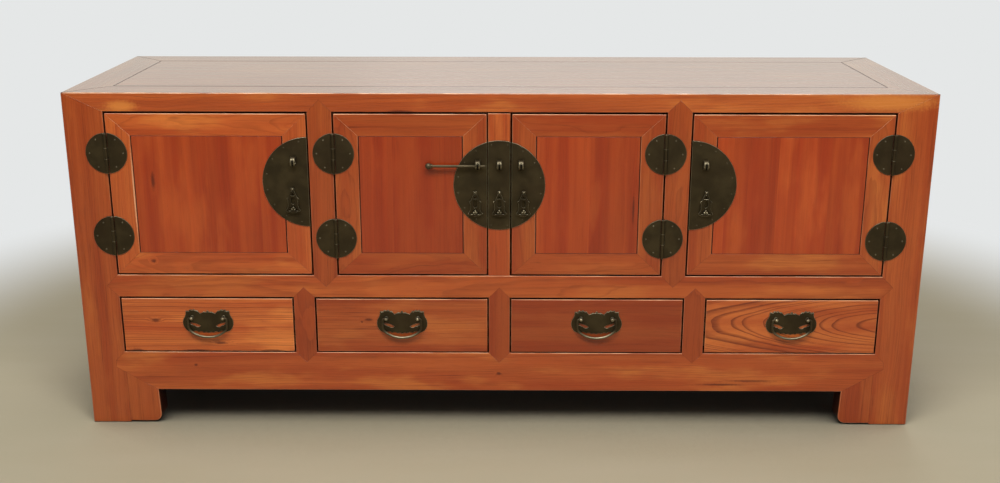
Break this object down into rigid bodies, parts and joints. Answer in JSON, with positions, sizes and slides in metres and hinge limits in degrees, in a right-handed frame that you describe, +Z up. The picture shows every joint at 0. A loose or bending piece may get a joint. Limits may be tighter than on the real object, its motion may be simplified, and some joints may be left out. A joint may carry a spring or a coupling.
{
  "type": "kang cabinet",
  "caption": "Low wide wooden cabinet with doors over drawers on square legs, dark brass round hinges, lock plates, lock pin, drop pulls and bat-shaped bail handles.",
  "frame": {"origin": "on the floor, under the middle of the wooden carcass", "axes": "+X to the right along the front, -Y out of the front, +Z up"},
  "size_m": [1.6, 0.4909, 0.655],
  "materials": {
    "frame_wood": "satin varnish, orange brown",
    "panel_wood": "satin varnish, red brown",
    "inner_wood": "unvarnished, pale",
    "aged_brass": "dark antique patina with rubbed rims"
  },
  "bodies": {
    "carcass": {"back_legs": "frame_wood", "back_panels": "panel_wood", "back_posts": "frame_wood", "back_rails": "frame_wood", "compartment_floor": "inner_wood", "door_posts": "frame_wood", "drawer_guides": "inner_wood", "drawer_posts": "frame_wood", "drawer_runners": "inner_wood", "foot_blocks": "aged_brass", "front_bottom_rail": "frame_wood", "front_legs": "frame_wood", "front_middle_rail": "frame_wood", "hinge_frame_leaves": "aged_brass", "hinge_pins": "aged_brass", "side_panels": "panel_wood", "side_rails": "frame_wood", "top_battens": "inner_wood", "top_frame_rails": "frame_wood", "top_panel": "panel_wood"},
    "door_left": {"door_left_frame": "frame_wood", "door_left_panel": "panel_wood", "door_left_hinge_leaves": "aged_brass", "door_left_lock_fittings": "aged_brass"},
    "door_centre_left": {"door_centre_left_frame": "frame_wood", "door_centre_left_panel": "panel_wood", "door_centre_left_hinge_leaves": "aged_brass", "door_centre_left_lock_fittings": "aged_brass"},
    "door_centre_right": {"door_centre_right_frame": "frame_wood", "door_centre_right_panel": "panel_wood", "door_centre_right_hinge_leaves": "aged_brass", "door_centre_right_lock_fittings": "aged_brass"},
    "door_right": {"door_right_frame": "frame_wood", "door_right_panel": "panel_wood", "door_right_hinge_leaves": "aged_brass", "door_right_lock_fittings": "aged_brass"},
    "door_left_drop": {"door_left_drop": "aged_brass"},
    "door_centre_left_drop": {"door_centre_left_drop": "aged_brass"},
    "door_centre_right_drop": {"door_centre_right_drop": "aged_brass"},
    "door_right_drop": {"door_right_drop": "aged_brass"},
    "centre_post": {"centre_post": "frame_wood", "centre_post_lock_fittings": "aged_brass"},
    "centre_post_drop": {"centre_post_drop": "aged_brass"},
    "lock_pin": {"lock_pin": "aged_brass"},
    "drawer_1": {"drawer_1_front": "frame_wood", "drawer_1_box": "inner_wood", "drawer_1_handle_plate": "aged_brass"},
    "drawer_1_bail": {"drawer_1_bail": "aged_brass"},
    "drawer_2": {"drawer_2_front": "frame_wood", "drawer_2_box": "inner_wood", "drawer_2_handle_plate": "aged_brass"},
    "drawer_2_bail": {"drawer_2_bail": "aged_brass"},
    "drawer_3": {"drawer_3_front": "frame_wood", "drawer_3_box": "inner_wood", "drawer_3_handle_plate": "aged_brass"},
    "drawer_3_bail": {"drawer_3_bail": "aged_brass"},
    "drawer_4": {"drawer_4_front": "frame_wood", "drawer_4_box": "inner_wood", "drawer_4_handle_plate": "aged_brass"},
    "drawer_4_bail": {"drawer_4_bail": "aged_brass"}
  },
  "joints": [
    {"name": "door_left_hinge", "type": "hinge", "parent": "carcass", "child": "door_left", "pos_m": [-0.72545, -0.241, 0.46], "axis": [0, 0, 1], "range_deg": [-110, 0]},
    {"name": "door_centre_left_hinge", "type": "hinge", "parent": "carcass", "child": "door_centre_left", "pos_m": [-0.30645, -0.241, 0.46], "axis": [0, 0, 1], "range_deg": [-110, 0]},
    {"name": "door_centre_right_hinge", "type": "hinge", "parent": "carcass", "child": "door_centre_right", "pos_m": [0.30645, -0.241, 0.46], "axis": [0, 0, -1], "range_deg": [-110, 0]},
    {"name": "door_right_hinge", "type": "hinge", "parent": "carcass", "child": "door_right", "pos_m": [0.72545, -0.241, 0.46], "axis": [0, 0, -1], "range_deg": [-110, 0]},
    {"name": "centre_post_slide", "type": "slide", "parent": "carcass", "child": "centre_post", "axis": [0, 1, 0], "range_m": [-0.08, 0]},
    {"name": "lock_pin_slide", "type": "slide", "parent": "door_centre_left", "child": "lock_pin", "axis": [1, 0, 0], "range_m": [0, 0.0748]},
    {"name": "drawer_1_slide", "type": "slide", "parent": "carcass", "child": "drawer_1", "axis": [0, -1, 0], "range_m": [0, 0.3]},
    {"name": "drawer_2_slide", "type": "slide", "parent": "carcass", "child": "drawer_2", "axis": [0, -1, 0], "range_m": [0, 0.3]},
    {"name": "drawer_3_slide", "type": "slide", "parent": "carcass", "child": "drawer_3", "axis": [0, -1, 0], "range_m": [0, 0.3]},
    {"name": "drawer_4_slide", "type": "slide", "parent": "carcass", "child": "drawer_4", "axis": [0, -1, 0], "range_m": [0, 0.3]},
    {"name": "door_left_drop_hinge", "type": "hinge", "parent": "door_left", "child": "door_left_drop", "pos_m": [-0.3841, -0.2439, 0.4765], "axis": [-1, 0, 0], "range_deg": [0, 90]},
    {"name": "door_centre_left_drop_hinge", "type": "hinge", "parent": "door_centre_left", "child": "door_centre_left_drop", "pos_m": [-0.045, -0.2439, 0.471], "axis": [-1, 0, 0], "range_deg": [0, 90]},
    {"name": "door_centre_right_drop_hinge", "type": "hinge", "parent": "door_centre_right", "child": "door_centre_right_drop", "pos_m": [0.045, -0.2439, 0.471], "axis": [-1, 0, 0], "range_deg": [0, 90]},
    {"name": "door_right_drop_hinge", "type": "hinge", "parent": "door_right", "child": "door_right_drop", "pos_m": [0.3841, -0.2439, 0.4715], "axis": [-1, 0, 0], "range_deg": [0, 90]},
    {"name": "centre_post_drop_hinge", "type": "hinge", "parent": "centre_post", "child": "centre_post_drop", "pos_m": [0, -0.2439, 0.471], "axis": [-1, 0, 0], "range_deg": [0, 90]},
    {"name": "drawer_1_bail_hinge", "type": "hinge", "parent": "drawer_1", "child": "drawer_1_bail", "pos_m": [-0.55988, -0.2445, 0.221], "axis": [-1, 0, 0], "range_deg": [0, 90]},
    {"name": "drawer_2_bail_hinge", "type": "hinge", "parent": "drawer_2", "child": "drawer_2_bail", "pos_m": [-0.18663, -0.2445, 0.221], "axis": [-1, 0, 0], "range_deg": [0, 90]},
    {"name": "drawer_3_bail_hinge", "type": "hinge", "parent": "drawer_3", "child": "drawer_3_bail", "pos_m": [0.18663, -0.2445, 0.221], "axis": [-1, 0, 0], "range_deg": [0, 90]},
    {"name": "drawer_4_bail_hinge", "type": "hinge", "parent": "drawer_4", "child": "drawer_4_bail", "pos_m": [0.55988, -0.2445, 0.221], "axis": [-1, 0, 0], "range_deg": [0, 90]}
  ]
}
